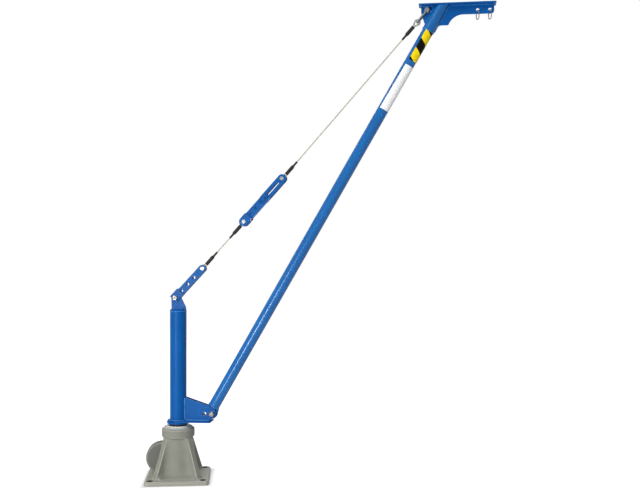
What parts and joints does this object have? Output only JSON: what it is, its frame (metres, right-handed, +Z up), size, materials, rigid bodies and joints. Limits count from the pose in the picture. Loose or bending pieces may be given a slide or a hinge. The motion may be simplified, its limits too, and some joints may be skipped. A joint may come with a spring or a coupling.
{
  "type": "davit crane",
  "caption": "Floor-mounted davit crane: a slewing mast on a cast pedestal carries a luffing tube boom, held by a wire rope tie with a sliding adjuster.",
  "frame": {"origin": "on the slewing axis at the underside of the pedestal, the centre of the floor bolt circle", "axes": "+Z up along the slewing axis, +X from the mast towards the boom's head, -Y the front, where the bolt heads show"},
  "size_m": [1.8902, 0.397, 2.512],
  "materials": {
    "blue_paint": "satin powder coat",
    "cast_foot": "matte warm grey coat",
    "zinc": "zinc plated",
    "wire_rope": "stranded, bright",
    "aluminium": "pressed",
    "black_rubber": "matte",
    "nylon": "machined",
    "bronze": "turned",
    "lanyard": "fine wire cord"
  },
  "bodies": {
    "base": {"pedestal": "cast_foot", "top_bush": "nylon", "bottom_bush": "nylon", "thrust_pad": "nylon"},
    "mast": {"spigot": "blue_paint", "spigot_seal": "black_rubber", "mast_tube": "blue_paint", "mast_cap": "blue_paint", "mast_ear": "blue_paint", "bracket_foot_plate": "blue_paint", "bracket_plate_front": "blue_paint", "bracket_plate_rear": "blue_paint", "lock_sleeve": "blue_paint", "pivot_bolt": "zinc", "pivot_nut": "zinc", "pivot_washers": "zinc"},
    "boom": {"boom_foot": "blue_paint", "boom_bush": "bronze", "pivot_thrust_washers": "bronze", "boom_tube": "blue_paint", "head_socket": "blue_paint", "head_web": "blue_paint", "head_ear": "blue_paint", "head_top_plate": "blue_paint", "tie_bolt": "zinc", "tie_nut": "zinc", "tie_washers": "zinc"},
    "shackle": {"shackle": "zinc"},
    "hoist_link_inner": {"hoist_link_inner": "zinc"},
    "hoist_link_outer": {"hoist_link_outer": "zinc"},
    "tie_lower": {"link_plates": "blue_paint", "link_doublers": "blue_paint", "link_bolt": "zinc", "link_nut": "zinc", "link_top_pin": "zinc", "short_rope": "wire_rope", "short_rope_eyes": "wire_rope", "short_rope_ferrules": "aluminium", "short_rope_sleeves": "black_rubber", "short_rope_thimbles": "zinc", "adjuster_lower_plates": "blue_paint", "adjuster_lower_doublers": "blue_paint", "adjuster_core": "blue_paint", "adjuster_lower_pin": "zinc", "adjuster_bolts": "blue_paint", "adjuster_nuts": "blue_paint", "pin_lanyard": "lanyard"},
    "tie_upper": {"adjuster_upper_plates": "blue_paint", "adjuster_upper_pin": "zinc", "upper_pin_spacers": "zinc", "long_rope": "wire_rope", "long_rope_eyes": "wire_rope", "long_rope_ferrules": "aluminium", "long_rope_sleeves": "black_rubber", "long_rope_thimbles": "zinc"}
  },
  "joints": [
    {"name": "mast_slew", "type": "hinge", "parent": "base", "child": "mast", "pos_m": [0, 0, 0], "axis": [0, 0, 1], "continuous": true},
    {"name": "boom_luff", "type": "hinge", "parent": "mast", "child": "boom", "pos_m": [0.192, 0, 0.355], "axis": [0, -1, 0], "range_deg": [0, 10]},
    {"name": "tie_swing", "type": "hinge", "parent": "mast", "child": "tie_lower", "pos_m": [-0.012, 0, 0.977], "axis": [0, -1, 0], "range_deg": [0, 12.5]},
    {"name": "adjuster_slide", "type": "slide", "parent": "tie_lower", "child": "tie_upper", "axis": [0.6717, 0, 0.7408], "range_m": [-0.094, 0]},
    {"name": "shackle_swing", "type": "hinge", "parent": "boom", "child": "shackle", "pos_m": [1.33719, 0, 2.47897], "axis": [0, -1, 0], "range_deg": [0, 2.5]},
    {"name": "hoist_link_inner_swing", "type": "hinge", "parent": "boom", "child": "hoist_link_inner", "pos_m": [1.59719, 0, 2.47747], "axis": [0, -1, 0], "range_deg": [-30, 30]},
    {"name": "hoist_link_outer_swing", "type": "hinge", "parent": "boom", "child": "hoist_link_outer", "pos_m": [1.65969, 0, 2.47747], "axis": [0, -1, 0], "range_deg": [-30, 30]}
  ],
  "couplings": [
    {"joint": "tie_swing", "follows": "boom_luff", "ratio": 1.193},
    {"joint": "adjuster_slide", "follows": "boom_luff", "m_per_rad": -0.52979},
    {"joint": "shackle_swing", "follows": "boom_luff", "ratio": 0.19296}
  ]
}
